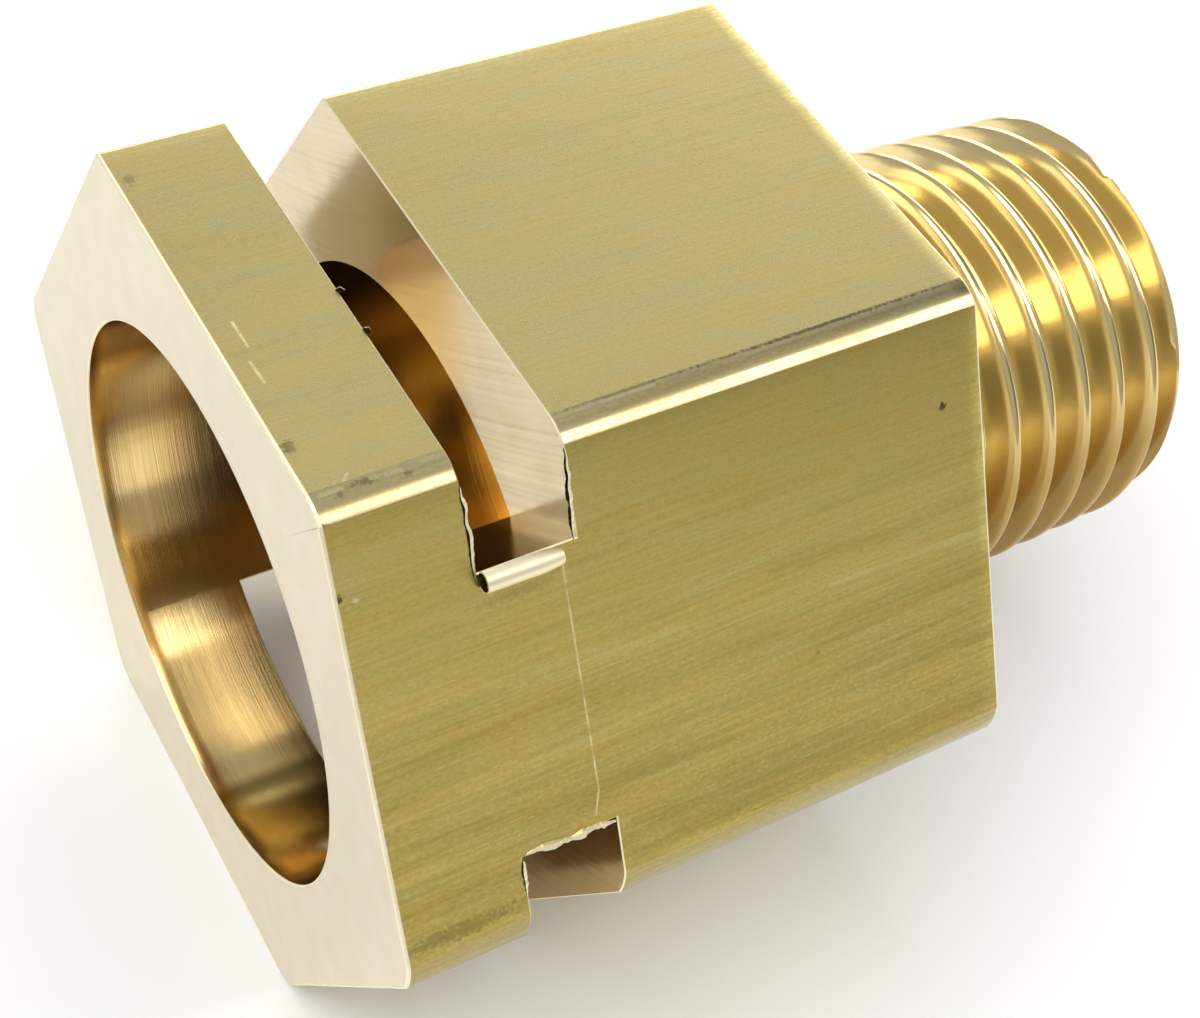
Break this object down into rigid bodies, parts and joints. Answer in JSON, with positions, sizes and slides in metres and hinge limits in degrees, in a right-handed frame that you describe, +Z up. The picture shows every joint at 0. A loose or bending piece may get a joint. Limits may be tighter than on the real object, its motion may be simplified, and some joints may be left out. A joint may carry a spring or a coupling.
{
  "type": "pressure sensor adapter",
  "caption": "Hexagonal brass adapter with a wide front socket, clip slots sawn across opposite corners, and a male taper pipe thread behind.",
  "frame": {"origin": "centre of the sensor socket's mouth, on the front face", "axes": "+X along the bore from the front face to the thread, +Z up out of the top flat; the part lies on the flat opposite"},
  "size_m": [0.0289, 0.0238, 0.021],
  "materials": {
    "brass": "drawn hexagonal flats with machined ends, bore and thread"
  },
  "bodies": {
    "root": {"adapter_body": "brass"}
  },
  "joints": []
}
